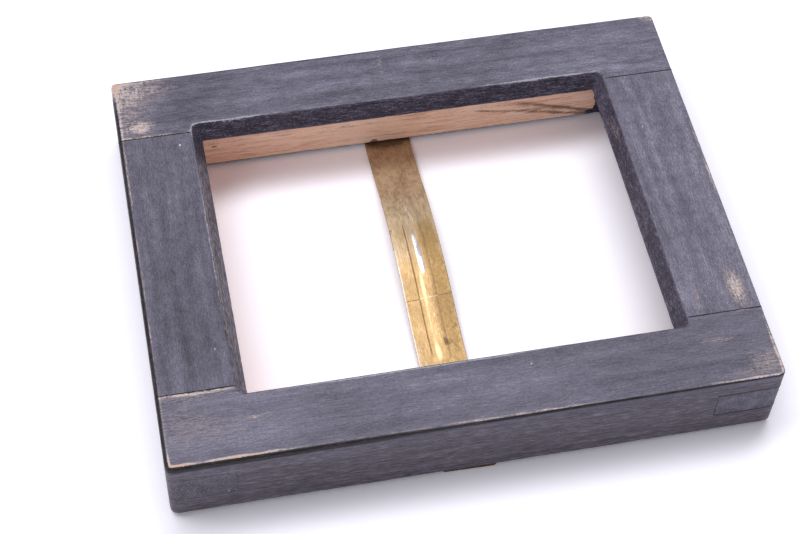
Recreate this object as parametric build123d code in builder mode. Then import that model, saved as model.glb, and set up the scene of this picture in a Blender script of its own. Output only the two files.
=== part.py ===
# Contact printing frame: four wooden members in open mortise-and-tenon joints, with a sprung brass
# bar that is hinged to the back of the far rail and held by a turn button on the near rail.
# Millimetres. X runs along the rails, Y from the near rail to the far one, and +Z points to the
# front, the side that faces the light. The frame lies on its back, and Z = 0 is the table.
import os
from math import atan2, degrees

from build123d import *

os.makedirs("parts", exist_ok=True)

# Wooden frame
frame_length = 156.0
frame_width = 125.0
frame_thickness = 22.0
stand_off = 1.05  # the hinge barrel and the turn button hold the wood this far off the table
opening_length = 110.4  # clear opening at the lip
opening_width = 82.5
opening_shift = -0.15  # the near rail is a touch narrower than the far one
bevel_run = 2.8
bevel_depth = 4.2
lip_edge = 0.4  # square edge left under the bevel
rebate_setback = 5.8  # width of the ledge that the glass lies on
edge_radius = 1.0
corner_radius = 1.3

# Open mortise-and-tenon corners: the tenons are on the stiles
front_cheek = 5.7
tenon_thickness = 9.0

# Spring bar
bar_centre_x = -2.2
bar_width = 13.0
bar_thickness = 0.7
bar_tip_y = -52.0
bar_tip_z = 1.5
bar_tip_radius = 2.0
bow_crest_y = 8.0
bow_crest_z = 5.3
bow_half_span = 42.0
rib_length = 63.5
rib_width = 5.0
rib_height = 0.5
rib_centre_y = 0.75
rib_wall = 0.6
housing_depth = 0.9  # for the bar's tip, in the near rail
housing_clearance = 0.4

# Hinge of the bar, let into the far rail
pin_radius = 0.75
running_fit = 0.05
barrel_radius = 1.6
barrel_y = 52.0
hinge_width = 14.4
tongue_width = 6.8
knuckle_gap = 0.2
knuckle_wrap = 300.0  # degrees of the bar's end that are rolled round the pin
leaf_end_y = 60.6
leaf_thickness = 1.0
leaf_corner = 1.0
pocket_clearance = 0.25
hinge_screw_spacing = 8.0
hinge_screw_y = 57.6
hinge_screw_length = 9.0
hinge_screw_radius = 0.85
hinge_head_radius = 1.8

# Turn button on the near rail
button_length = 14.4
button_width = 8.8
button_thickness = 1.0
button_corner = 1.0
button_tail = 3.7  # from the pivot to the short end
button_angle = -1.2  # it was left a little out of line with the rail
pivot_x = 1.5
pivot_y = -57.7
button_screw_radius = 1.1
button_head_radius = 2.0
button_screw_length = 12.0
head_recess = 0.06  # the head lies this much under the button's face

screw_fit = 0.05
slot_width = 0.5
slot_depth = 0.45
cut_past = 1.0  # how far a cutting shape runs past the face that it opens

# Levels and lines that follow from these
back_plane = stand_off
front_plane = stand_off + frame_thickness
ledge_level = front_plane - bevel_depth - lip_edge
tenon_top = front_plane - front_cheek
tenon_bottom = tenon_top - tenon_thickness
far_lip = opening_shift + opening_width / 2
near_lip = opening_shift - opening_width / 2
rebate_length = opening_length + 2 * rebate_setback
rebate_width = opening_width + 2 * rebate_setback
far_wall = far_lip + rebate_setback
near_wall = near_lip - rebate_setback
tenon_width = (frame_length - rebate_length) / 2
tenon_centre_x = (frame_length - tenon_width) / 2
knuckle_radius = pin_radius + running_fit + bar_thickness / 2  # middle of the rolled strip
bar_radius = knuckle_radius + bar_thickness / 2
barrel_z = barrel_radius
heel_z = barrel_z - knuckle_radius
near_wood = Plane.XY.offset(back_plane)


def block(low, high, mode=Mode.ADD):
    """Box between two opposite corners."""
    size = Vector(*high) - Vector(*low)
    with Locations(Vector(*low) + size / 2):
        Box(size.X, size.Y, size.Z, mode=mode)


def slotted_screw(head_radius, radius, length):
    """Countersunk wood screw with its head at Z = 0 and its point along +Z, as a private solid."""
    taper = head_radius - radius
    with BuildPart(mode=Mode.PRIVATE) as screw:
        with BuildSketch(Plane.XZ):
            with BuildLine():
                Polyline(
                    (0, 0),
                    (head_radius, 0),
                    (radius, taper),
                    (radius, length - 2 * radius),
                    (0, length),
                    close=True,
                )
            make_face()
        revolve(axis=Axis.Z)
        Box(3 * head_radius, slot_width, 2 * slot_depth, mode=Mode.SUBTRACT)
    return screw.part


def export(piece, name):
    """Label a finished piece and write it to its own file."""
    piece.part.label = name
    export_step(piece.part, f"parts/{name}.step")


# The frame's outer form with its eased edges, which trims every member
with BuildPart() as outer_form:
    with BuildSketch(near_wood):
        RectangleRounded(frame_length, frame_width, corner_radius)
    extrude(amount=frame_thickness)
    fillet(faces().filter_by(Axis.Z).edges(), edge_radius)

# The opening: a rebate from the back, the square lip edge, and the bevel towards the front
with BuildPart() as opening_form:
    with BuildSketch(near_wood.offset(-cut_past)):
        with Locations((0, opening_shift)):
            Rectangle(rebate_length, rebate_width)
    extrude(amount=ledge_level - back_plane + cut_past)
    with BuildSketch(Plane.XY.offset(ledge_level)):
        with Locations((0, opening_shift)):
            Rectangle(opening_length, opening_width)
    extrude(amount=lip_edge)
    flare = bevel_run * (bevel_depth + cut_past) / bevel_depth
    for level, growth in ((ledge_level + lip_edge, 0), (front_plane + cut_past, flare)):
        with BuildSketch(Plane.XY.offset(level)):
            with Locations((0, opening_shift)):
                Rectangle(opening_length + 2 * growth, opening_width + 2 * growth)
    loft()


def trim_to_frame():
    """Cut the piece being built to the eased outer form and to the opening."""
    add(outer_form.part, mode=Mode.INTERSECT)
    add(opening_form.part, mode=Mode.SUBTRACT)


def rail_stock(low_y, high_y):
    """Full-length rail with an open slot at each end for the stiles' tenons."""
    half = frame_length / 2
    block((-half, low_y, back_plane), (half, high_y, front_plane))
    for side in (-1, 1):
        inner, outer = side * rebate_length / 2, side * (half + cut_past)
        block(
            (min(inner, outer), low_y - cut_past, tenon_bottom),
            (max(inner, outer), high_y + cut_past, tenon_top),
            mode=Mode.SUBTRACT,
        )
    trim_to_frame()


with BuildPart() as rail_far:
    rail_stock(far_lip, frame_width / 2)
    # Pockets for the hinge leaf and for its barrel, with the screws' pilot holes
    half_pocket = hinge_width / 2 + pocket_clearance
    left, right = bar_centre_x - half_pocket, bar_centre_x + half_pocket
    reach = barrel_radius + pocket_clearance
    block(
        (left, barrel_y, back_plane - cut_past),
        (right, leaf_end_y + pocket_clearance, back_plane + leaf_thickness),
        mode=Mode.SUBTRACT,
    )
    block(
        (left, barrel_y - reach, back_plane - cut_past),
        (right, barrel_y + reach, barrel_z + reach),
        mode=Mode.SUBTRACT,
    )
    with BuildSketch(near_wood):
        with Locations((bar_centre_x, hinge_screw_y)):
            with GridLocations(hinge_screw_spacing, 1, 2, 1):
                Circle(hinge_screw_radius + screw_fit)
    extrude(amount=hinge_screw_length + cut_past, mode=Mode.SUBTRACT)
export(rail_far, "rail_far")

with BuildPart() as rail_near:
    rail_stock(-frame_width / 2, near_lip)
    # Shallow housing for the bar's tip, and the pilot hole of the button's screw
    half_housing = bar_width / 2 + housing_clearance
    block(
        (bar_centre_x - half_housing, bar_tip_y - housing_clearance, back_plane - cut_past),
        (bar_centre_x + half_housing, near_wall + cut_past, back_plane + housing_depth),
        mode=Mode.SUBTRACT,
    )
    with BuildSketch(near_wood):
        with Locations((pivot_x, pivot_y)):
            Circle(button_screw_radius + screw_fit)
    extrude(amount=button_screw_length, mode=Mode.SUBTRACT)
export(rail_near, "rail_near")


def stile_stock(side):
    """Stile between the rails' shoulders, with a tenon through each rail."""
    outer = side * frame_length / 2
    body, tenon = side * opening_length / 2, side * rebate_length / 2
    block(
        (min(body, outer), near_lip, back_plane),
        (max(body, outer), far_lip, front_plane),
    )
    block(
        (min(tenon, outer), -frame_width / 2, tenon_bottom),
        (max(tenon, outer), frame_width / 2, tenon_top),
    )
    trim_to_frame()


with BuildPart() as stile_left:
    stile_stock(-1)
export(stile_left, "stile_left")

with BuildPart() as stile_right:
    stile_stock(1)
export(stile_right, "stile_right")


def bow_arc_size(rise):
    """Radius and angle of the two equal arcs that climb a rise over half the bow's span."""
    radius = (bow_half_span**2 + rise**2) / (4 * rise)
    return radius, 2 * degrees(atan2(rise, bow_half_span))


def bow_path(lift):
    """The bar's middle line from its tip to its heel, in the YZ plane, moved up by lift."""
    near_radius, near_turn = bow_arc_size(bow_crest_z - bar_tip_z)
    far_radius, far_turn = bow_arc_size(bow_crest_z - heel_z)
    near_foot = (bow_crest_y - bow_half_span, bar_tip_z + lift)
    flat = Line((bar_tip_y, bar_tip_z + lift), near_foot)
    rise_1 = JernArc(flat @ 1, flat % 1, near_radius, near_turn)
    rise_2 = JernArc(rise_1 @ 1, rise_1 % 1, near_radius, -near_turn)
    fall_1 = JernArc(rise_2 @ 1, rise_2 % 1, far_radius, -far_turn)
    return JernArc(fall_1 @ 1, fall_1 % 1, far_radius, far_turn)


def bow_rib(width, lift, thickness):
    """Ribbon that follows the bow, cut to the rib's long rounded outline."""
    length = rib_length - rib_width + width
    with BuildPart() as ribbon:
        with BuildSketch(Plane.YZ.offset(bar_centre_x - width / 2)):
            with BuildLine():
                bow_path(lift)
            trace(line_width=thickness)
        extrude(amount=width)
        with BuildSketch(Plane.XY):
            with Locations((bar_centre_x, rib_centre_y)):
                SlotOverall(length, width, rotation=90)
        extrude(amount=bow_crest_z + rib_height + cut_past, mode=Mode.INTERSECT)
    return ribbon.part


# The pressed rib stands up along the middle of the bar, with a groove under it
rib = bow_rib(rib_width, rib_height, bar_thickness)
groove_thickness = rib_height + cut_past
groove_lift = rib_height - (bar_thickness + groove_thickness) / 2
rib_groove = bow_rib(rib_width - 2 * rib_wall, groove_lift, groove_thickness)

with BuildPart() as spring_bar:
    with BuildSketch(Plane.YZ.offset(bar_centre_x - bar_width / 2)):
        with BuildLine():
            heel = bow_path(0)
            run = Line(heel @ 1, (barrel_y, heel_z))
            JernArc(run @ 1, run % 1, knuckle_radius, knuckle_wrap)
        trace(line_width=bar_thickness)
    extrude(amount=bar_width)
    fillet(edges().filter_by(Axis.Z).group_by(Axis.Y)[0], bar_tip_radius)
    # Beside the tongue the bar stops short of the hinge's two fixed knuckles
    shoulder_y = barrel_y - barrel_radius - 2 * pocket_clearance
    for side in (-1, 1):
        inner = bar_centre_x + side * tongue_width / 2
        outer = bar_centre_x + side * bar_width
        block(
            (min(inner, outer), shoulder_y, -cut_past),
            (max(inner, outer), barrel_y + barrel_radius + cut_past, barrel_z + barrel_radius + cut_past),
            mode=Mode.SUBTRACT,
        )
    add(rib_groove, mode=Mode.SUBTRACT)
    add(rib)
export(spring_bar, "spring_bar")

with BuildPart() as hinge_leaf:
    with BuildSketch(near_wood):
        with Locations((bar_centre_x, (barrel_y + leaf_end_y) / 2)):
            Rectangle(hinge_width, leaf_end_y - barrel_y)
        fillet(vertices().group_by(Axis.Y)[-1], leaf_corner)
    extrude(amount=leaf_thickness)
    with BuildSketch(Plane.YZ.offset(bar_centre_x - hinge_width / 2)):
        with Locations((barrel_y, barrel_z)):
            Circle(barrel_radius)
    extrude(amount=hinge_width)
    half_gap = tongue_width / 2 + knuckle_gap
    block(
        (bar_centre_x - half_gap, barrel_y - barrel_radius - cut_past, -cut_past),
        (bar_centre_x + half_gap, barrel_y + bar_radius + pocket_clearance, 2 * barrel_radius + cut_past),
        mode=Mode.SUBTRACT,
    )
    with BuildSketch(Plane.YZ.offset(bar_centre_x - hinge_width / 2)):
        with Locations((barrel_y, barrel_z)):
            Circle(pin_radius + running_fit)
    extrude(amount=hinge_width, mode=Mode.SUBTRACT)
    with Locations(Plane((bar_centre_x, hinge_screw_y, back_plane), z_dir=(0, 0, -1))):
        with GridLocations(hinge_screw_spacing, 1, 2, 1):
            CounterSinkHole(
                hinge_screw_radius + screw_fit,
                hinge_head_radius + 2 * head_recess,
                counter_sink_angle=90,
            )
export(hinge_leaf, "hinge_leaf")

with BuildPart() as hinge_pin:
    with BuildSketch(Plane.YZ.offset(bar_centre_x - hinge_width / 2)):
        with Locations((barrel_y, barrel_z)):
            Circle(pin_radius)
    extrude(amount=hinge_width)
export(hinge_pin, "hinge_pin")

with BuildPart() as hinge_screws:
    for side, slot_angle in ((-1, 25), (1, -50)):
        at = (bar_centre_x + side * hinge_screw_spacing / 2, hinge_screw_y, back_plane + head_recess)
        with Locations(Location(at, (0, 0, slot_angle))):
            add(slotted_screw(hinge_head_radius, hinge_screw_radius, hinge_screw_length))
export(hinge_screws, "hinge_screws")

with BuildPart() as turn_button:
    with BuildSketch(Plane.XY):
        with Locations(Location((pivot_x, pivot_y, 0), (0, 0, button_angle))):
            with Locations((button_tail - button_length / 2, 0)):
                RectangleRounded(button_length, button_width, button_corner)
    extrude(amount=button_thickness)
    with Locations(Plane((pivot_x, pivot_y, 0), z_dir=(0, 0, -1))):
        CounterSinkHole(
            button_screw_radius + screw_fit,
            button_head_radius + 2 * head_recess,
            counter_sink_angle=90,
        )
export(turn_button, "turn_button")

with BuildPart() as button_screw:
    with Locations(Location((pivot_x, pivot_y, head_recess), (0, 0, 70))):
        add(slotted_screw(button_head_radius, button_screw_radius, button_screw_length))
export(button_screw, "button_screw")
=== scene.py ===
from math import cos, pi, radians, sin

import bmesh
import bpy
import numpy as np
from mathutils import Matrix, Vector


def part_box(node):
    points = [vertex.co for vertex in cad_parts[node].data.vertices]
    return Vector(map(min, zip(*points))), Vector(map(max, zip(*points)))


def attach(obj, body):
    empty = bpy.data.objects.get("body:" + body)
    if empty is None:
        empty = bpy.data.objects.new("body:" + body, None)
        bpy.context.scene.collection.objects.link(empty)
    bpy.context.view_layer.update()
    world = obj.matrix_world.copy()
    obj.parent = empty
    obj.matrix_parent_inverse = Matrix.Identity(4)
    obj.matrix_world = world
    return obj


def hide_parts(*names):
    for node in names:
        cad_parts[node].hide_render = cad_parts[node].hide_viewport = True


# A contact printing frame lying on its back: four stained beech members in open mortise-and-tenon
# joints round a bevelled opening, and a sprung brass bar that hinges on the back of the far rail.
# Metres. The numbers below are in millimetres and are multiplied by mm where they are used.
mm = 0.001

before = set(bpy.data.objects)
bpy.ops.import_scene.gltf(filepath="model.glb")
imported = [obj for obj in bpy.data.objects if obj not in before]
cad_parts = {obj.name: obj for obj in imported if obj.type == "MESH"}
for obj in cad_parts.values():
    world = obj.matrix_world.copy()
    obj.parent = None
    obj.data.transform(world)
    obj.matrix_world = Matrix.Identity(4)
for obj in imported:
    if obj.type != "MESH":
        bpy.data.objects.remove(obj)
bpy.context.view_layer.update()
print("frame loaded:", ", ".join(sorted(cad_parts)))


def nodeBox(name):
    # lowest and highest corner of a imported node, as two arrays in millimetres
    low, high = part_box(name)
    return np.array(low) / mm, np.array(high) / mm


def smoothStep(low, high, value):
    # 0 at low, 1 at high, an S curve between
    t = np.clip((value - low) / (high - low), 0, 1)
    return t * t * (3 - 2 * t)


# large primes mix a cell's address into a number that looks random
cellPrimes = np.array([73856093, 19349663, 83492791])
seedPrime, firstMix, secondMix = 2654435761, 1274126177, 2246822519


def cloudNoise(points, size, seed):
    # random values at the corners of a grid of cells, blended smoothly inside each cell: 0 to 1
    cell = points / size
    base = np.floor(cell).astype(np.int64)
    part = cell - base
    part = part * part * (3 - 2 * part)
    total = np.zeros(len(points))
    for corner in range(8):
        step = np.array([corner & 1, corner >> 1 & 1, corner >> 2 & 1])
        key = (base + step) @ cellPrimes + seed * seedPrime
        key = (key ^ key >> 13) * firstMix & 0xFFFFFFFF
        key = (key ^ key >> 16) * secondMix & 0xFFFFFFFF
        weight = np.prod(np.where(step, part, 1 - part), axis=1)
        total += weight * (key ^ key >> 15 & 0xFFFF) / 0xFFFFFFFF
    return total


def spotField(points, spots):
    # sum of soft spots: each has a place, a reach along x, y and z, and a strength
    total = np.zeros(len(points))
    for place, reach, strength in spots:
        away = ((points - np.array(place)) / np.array(reach)) ** 2
        total += strength * np.exp(-away.sum(axis=1))
    return total


def gradedStops(stops, step, crowding):
    # positions from the first stop to the last, about step apart and crowded towards every stop, for which a
    # run longer than two steps gets four more
    runs = []
    for start, end in zip(stops[:-1], stops[1:]):
        count = int(np.ceil((end - start) / step)) + (4 if end - start > 2 * step else 0)
        t = np.arange(count) / count
        runs.append(start + (end - start) * (t - crowding * np.sin(2 * pi * t) / (2 * pi)))
    return np.append(np.concatenate(runs), stops[-1])


def latticeShell(lines, filled):
    # outer skin of the filled cells of a box grid: a square face stands wherever a filled cell meets an empty
    # one, and turns its front to the empty side
    shape = [len(line) for line in lines]
    corners = np.arange(np.prod(shape)).reshape(shape)
    padded = np.pad(filled, 1).astype(np.int8)
    faces = []
    for axis, turn in enumerate((1, -1, 1)):
        change = np.moveaxis(np.diff(padded, axis=axis), axis, 0)[:, 1:-1, 1:-1]
        grid = np.moveaxis(corners, axis, 0)
        quads = np.stack([grid[:, :-1, :-1], grid[:, 1:, :-1], grid[:, 1:, 1:], grid[:, :-1, 1:]], axis=-1)
        faces += [quads[change == -turn], quads[change == turn][:, ::-1]]
    used, faces = np.unique(np.concatenate(faces), return_inverse=True)
    place = np.unravel_index(used, shape)
    points = np.stack([line[index] for line, index in zip(lines, place)], axis=1)
    return points, faces.reshape(-1, 4)


def joinTouching(points, faces, within=0.001):
    # points laid on one another become one, and faces that are left with fewer than three corners go
    _, first, index = np.unique(np.round(points / within).astype(np.int64), axis=0,
                                return_index=True, return_inverse=True)
    faces = index.reshape(-1)[faces]
    corners = 4 - (faces == np.roll(faces, 1, axis=1)).sum(axis=1)
    return points[first], faces[corners > 2]


def neighbourMean(points, faces):
    # each vertex's mean of the vertices that it shares an edge with
    starts = np.concatenate([faces[:, k] for k in range(4)])
    ends = np.concatenate([faces[:, (k + 1) % 4] for k in range(4)])
    count = np.bincount(starts, minlength=len(points)) + np.bincount(ends, minlength=len(points))
    mean = np.empty_like(points)
    for axis in range(3):
        total = np.bincount(starts, points[ends, axis], len(points))
        total += np.bincount(ends, points[starts, axis], len(points))
        mean[:, axis] = total / count
    return mean


def vertexNormals(points, faces):
    # sum of the faces' cross products at each vertex, scaled to length 1
    cross = np.cross(points[faces[:, 2]] - points[faces[:, 0]], points[faces[:, 3]] - points[faces[:, 1]])
    normals = np.zeros_like(points)
    for axis in range(3):
        for k in range(4):
            normals[:, axis] += np.bincount(faces[:, k], cross[:, axis], len(points))
    return normals / np.maximum(np.linalg.norm(normals, axis=1, keepdims=True), 1e-12)


def addObject(name, data):
    # puts a mesh, a light or a camera into the scene
    made = bpy.data.objects.new(name, data)
    bpy.context.scene.collection.objects.link(made)
    return made


# points of a new mesh that are nearer than weld are one, and edges shorter than sliver go
meshCare = {"weld": 0.004, "sliver": 0.002}


def meshPiece(name, points, faces, body, replaced, material, masks):
    # one object with its place in its mesh, whose points carry the masks; it rides on a body and stands for a
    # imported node
    mesh = bpy.data.meshes.new(name)
    mesh.from_pydata((points * mm).tolist(), [], [list(dict.fromkeys(face)) for face in faces])
    for key, values in masks.items():
        mesh.attributes.new(key, "FLOAT", "POINT").data.foreach_set("value", values.astype(np.float32))
    piece = addObject(name, mesh)
    work = bmesh.new()
    work.from_mesh(mesh)
    bmesh.ops.remove_doubles(work, verts=work.verts, dist=meshCare["weld"] * mm)
    bmesh.ops.dissolve_degenerate(work, edges=work.edges, dist=meshCare["sliver"] * mm)
    work.to_mesh(mesh)
    work.free()
    mesh.shade_smooth()
    mesh.materials.append(material)
    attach(piece, body)
    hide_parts(replaced)
    return piece


def colour(code):
    # sRGB hex to the linear colour that the shader takes
    values = [int(code[k:k + 2], 16) / 255 for k in (1, 3, 5)]
    return (*[v / 12.92 if v <= 0.04045 else ((v + 0.055) / 1.055) ** 2.4 for v in values], 1)


def addNode(tree, kind, inputs, out=0, **settings):
    # adds one shader node, sets its own properties, fills or links its inputs and gives back one output
    node = tree.nodes.new("ShaderNode" + kind)
    for key, value in settings.items():
        setattr(node, key, value)
    for key, value in inputs.items():
        if isinstance(value, bpy.types.NodeSocket):
            tree.links.new(value, node.inputs[key])
        else:
            node.inputs[key].default_value = value
    return node.outputs[out] if len(node.outputs) else None


def mixLayers(tree, place, sizes, mixes):
    # noise stretched to real sizes in millimetres, and weighted sums of it round a middle value
    noise = {}
    for key, (along, across, detail, roughness) in sizes.items():
        stretched = addNode(tree, "Mapping", {"Vector": place, "Scale": (1 / along, 1 / across, 1 / across)})
        noise[key] = addNode(tree, "TexNoise", {
            "Vector": stretched, "Scale": 1.0, "Detail": detail, "Roughness": roughness})
    for key, (middle, weights) in mixes.items():
        total = middle - 0.5 * sum(weights.values())
        for layer, weight in weights.items():
            total = addNode(tree, "Math", {0: noise[layer], 1: weight, 2: total}, operation="MULTIPLY_ADD")
        noise[key] = total
    return noise


def readMasks(tree, keys):
    # the values that the mesh's points carry
    return {key: addNode(tree, "Attribute", {}, out="Fac", attribute_name=key) for key in keys}


def frayMasks(tree, mask, noise, frays):
    # masks with ragged borders: each has its share of a noise added
    return {key: addNode(tree, "Math", {0: noise[kind], 1: share, 2: mask[key]}, operation="MULTIPLY_ADD")
            for key, (kind, share) in frays.items()}


def nearLine(tree, value, wander, line, most=1.0):
    # strength beside a line that wanders a little: line gives its middle, and how far from there the strength
    # starts and is at its most
    middle, start, full = line
    away = addNode(tree, "Math", {0: value, 1: wander}, operation="ADD")
    away = addNode(tree, "Math", {0: away, 1: middle}, operation="SUBTRACT")
    away = addNode(tree, "Math", {0: away}, operation="ABSOLUTE")
    return addNode(tree, "MapRange", {0: away, 1: start, 2: full, 3: 0.0, 4: most})


def layCoats(tree, surface, coats):
    # colours laid over a surface in turn: a coat covers from none where its value is low to its most at high
    for value, low, high, most, shade in coats:
        cover = addNode(tree, "MapRange", {0: value, 1: low, 2: high, 3: 0.0, 4: most})
        shade = colour(shade) if isinstance(shade, str) else shade
        surface = addNode(tree, "Mix", {0: cover, 6: surface, 7: shade}, out=2, data_type="RGBA")
    return surface


def newMaterial(name):
    # an empty material and its node tree
    material = bpy.data.materials.new(name)
    material.use_nodes = True
    material.node_tree.nodes.clear()
    return material, material.node_tree


def objectPlace(tree, **placing):
    # a point's place on the object in millimetres, moved or turned as placing says
    place = addNode(tree, "TexCoord", {}, out="Object")
    return addNode(tree, "Mapping", {"Vector": place, "Scale": (1 / mm, 1 / mm, 1 / mm), **placing})


def closeFinish(tree, surface, height, relief, **inputs):
    # the colours and a bump of a real depth go to the shader, and the shader to the output
    bump = addNode(tree, "Bump", {
        "Height": height, "Strength": relief["bumpStrength"], "Distance": relief["bumpDepth"] * mm})
    shader = addNode(tree, "BsdfPrincipled", {"Base Color": surface, "Normal": bump, **inputs})
    addNode(tree, "OutputMaterial", {"Surface": shader})


def direction(azimuth, elevation):
    # unit vector: the azimuth turns from -Y towards +X, the elevation lifts it, both in radians
    return Vector((sin(azimuth) * cos(elevation), -cos(azimuth) * cos(elevation), sin(elevation)))


# millimetres and degrees: where the camera aims, and from how far and which side it looks
cameraPlace = {"lens": 82.30, "sensor": 36.0, "azimuth": -13.703, "elevation": 54.06, "roll": 3.019,
               "distance": 499.73, "target": (-7.298, 2.334, 1.05), "clip": (10, 20000)}


def placeCamera(place):
    # back is from the target to the camera, right is level, and both axes are then rolled
    azimuth, elevation, roll = (radians(place[key]) for key in ("azimuth", "elevation", "roll"))
    back = direction(azimuth, elevation)
    right = Vector((cos(azimuth), sin(azimuth), 0))
    up = back.cross(right)
    rolledRight = right * cos(roll) + up * sin(roll)
    rolledUp = up * cos(roll) - right * sin(roll)
    data = bpy.data.cameras.new("camera")
    data.lens, data.sensor_width = place["lens"], place["sensor"]
    data.clip_start, data.clip_end = (reach * mm for reach in place["clip"])
    camera = addObject("camera", data)
    turn = Matrix((rolledRight, rolledUp, back)).transposed().to_4x4()
    stand = (Vector(place["target"]) + back * place["distance"]) * mm
    camera.matrix_world = Matrix.Translation(stand) @ turn
    bpy.context.scene.camera = camera


placeCamera(cameraPlace)

studio = {
    # metres; the table is a little overexposed in the picture, so the camera and reflections see it brighter
    "floorSize": 8.0, "floorColour": "#eeedf6", "floorGain": 1.40,
    "worldColour": "#fffdff", "worldStrength": 0.31,
}
# a softbox behind the object, high and a little to the left, and a weaker one in front of it on the left:
# metres, degrees and watts
lamps = {
    "key": {"width": 3.10, "height": 0.84, "distance": 2.2, "elevation": 72.8, "azimuth": 199, "power": 45.5},
    "fill": {"width": 1.30, "height": 1.10, "distance": 2.0, "elevation": 33, "azimuth": -40, "power": 6.0},
}


def makeTable(place):
    # white table and the even pale surround
    half = place["floorSize"] / 2
    mesh = bpy.data.meshes.new("table")
    corners = [(-half, -half, 0), (half, -half, 0), (half, half, 0), (-half, half, 0)]
    mesh.from_pydata(corners, [], [(0, 1, 2, 3)])
    floor = addObject("table", mesh)
    paper, tree = newMaterial("matt white table")
    gained = 0.0
    for ray in ("Is Camera Ray", "Is Glossy Ray", "Is Transmission Ray"):
        seen = addNode(tree, "LightPath", {}, out=ray)
        gained = addNode(tree, "Math", {0: seen, 1: gained}, operation="MAXIMUM")
    plain = colour(place["floorColour"])
    bright = (*[channel * place["floorGain"] for channel in plain[:3]], 1)
    tone = addNode(tree, "Mix", {0: gained, 6: plain, 7: bright}, out=2, data_type="RGBA")
    shader = addNode(tree, "BsdfDiffuse", {"Color": tone})
    addNode(tree, "OutputMaterial", {"Surface": shader})
    mesh.materials.append(paper)

    world = bpy.data.worlds.new("studio")
    bpy.context.scene.world = world
    world.use_nodes = True
    background = world.node_tree.nodes["Background"]
    background.inputs["Color"].default_value = colour(place["worldColour"])
    background.inputs["Strength"].default_value = place["worldStrength"]


def addSoftbox(name, lamp):
    # a rectangular area light that faces the middle of the table
    data = bpy.data.lights.new(name, "AREA")
    data.shape, data.energy = "RECTANGLE", lamp["power"]
    data.size, data.size_y = lamp["width"], lamp["height"]
    light = addObject(name, data)
    away = direction(radians(lamp["azimuth"]), radians(lamp["elevation"]))
    light.location = away * lamp["distance"]
    light.rotation_euler = away.to_track_quat("Z", "Y").to_euler()


makeTable(studio)
for name, lamp in lamps.items():
    addSoftbox(name, lamp)
bpy.context.scene.view_settings.view_transform = "Standard"
print("camera, table and softboxes placed")

railLow, railHigh = nodeBox("rail_far")
outerHalf = railHigh[:2]

wood = {
    # joinery, as it was cut
    "rebateSetback": 5.8, "bevelRun": 2.8, "bevelDepth": 4.2, "bevelCorner": 0.62, "lipEdge": 0.4,
    "frontCheek": 5.7, "tenonThickness": 9.0, "shoulderGap": 0.03, "tenonGap": {"left": 0.02, "right": 0.10},
    # the skin's mesh: face size, and how much smaller the faces get at an edge
    "step": 0.75, "crowding": 0.84,
    # how round handling has made the upright corners and the long outer edges, at the right and the left end
    "farCornerRadius": 1.3, "nearCornerRadius": 2.0, "edgeRadius": 0.42, "leftEdgeRadius": 1.0,
    "farLeftEdge": 0.12, "edgeRun": (45, -outerHalf[0]),
    # the bevels' round corners fade out in the wood behind over this length
    "cornerFade": 3.0,
    # every arris is eased by a few smoothing passes of uneven strength, less so round the opening
    "softening": 4, "softenLeast": 0.1, "softenSwing": 0.6, "roughLength": 4.0, "roughShare": 0.6,
    "fineLength": 1.3, "fineShare": 0.4, "openingShare": 0.5, "openingReach": (0.96, 0.94),
    # and not where stain has filled the left tenon's joint
    "paintedJoint": ((-68, -62.5, 13), (12, 1.5, 7), 0.9),
    # an arris is where the skin stands this proud of a copy smoothed this many times
    "edgePasses": 10, "edgeProud": (0.02, 0.14),
    # hand planing and knocks: how far the faces and edges wander inwards, over what length, from which noise
    # upwards an edge is chipped, and how near a glued joint the wood keeps its line; a point this little
    # beside a joint still belongs to it
    "waveDepth": 0.10, "waveLength": 26.0,
    "rippleDepth": 0.04, "rippleLength": 5.0, "rippleStretch": (1, 1, 0.6),
    "chipDepth": 0.22, "chipLength": 2.0, "chipFrom": (0.6, 0.85), "jointCalm": (0.05, 0.8),
    "jointReach": 0.1, "tenonReach": 0.3,
}
noiseSeed = {"rough": 11, "fine": 12, "wave": 13, "ripple": 14, "chip": 15, "edgeWear": 21, "tone": 23}
openHalfX = nodeBox("stile_right")[0][0]
farLip, nearLip = railLow[1], nodeBox("rail_near")[1][1]
backPlane, frontPlane = railLow[2], railHigh[2]
lipTop = frontPlane - wood["bevelDepth"]
ledge = lipTop - wood["lipEdge"]
tenonTop = frontPlane - wood["frontCheek"]
tenonBottom = tenonTop - wood["tenonThickness"]
rebateHalfX = openHalfX + wood["rebateSetback"]
farWall, nearWall = farLip + wood["rebateSetback"], nearLip - wood["rebateSetback"]
bevelHalfX = openHalfX + wood["bevelRun"]
farBevel, nearBevel = farLip + wood["bevelRun"], nearLip - wood["bevelRun"]

# what is let into the rails' backs: the hinge leaf's pocket (left, right, front, rear), the slot for its
# barrel, and the housing for the bar's tip
hinge = {"pocket": (-9.65, 5.25, 52.0, 60.85), "pocketDepth": 1.0, "barrelSlot": (50.15, 53.85),
         "slotTop": 3.45}
housing = {"span": (-9.1, 4.7), "end": -52.4, "depth": 0.9}


def inOpening(x, y, z):
    # cells cut away by the rebate, the lip and the bevel's square step, which is sloped later
    atHeight = [z < ledge, z < lipTop]
    half = np.select(atHeight, [rebateHalfX, openHalfX], bevelHalfX)
    far = np.select(atHeight, [farWall, farLip], farBevel)
    near = np.select(atHeight, [nearWall, nearLip], nearBevel)
    return (np.abs(x) < half) & (y < far) & (y > near)


def inTenon(x, z, gap):
    # where a tenon stands, made smaller by gap on each face
    return (np.abs(x) > rebateHalfX + gap) & (z > tenonBottom + gap) & (z < tenonTop - gap)


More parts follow.
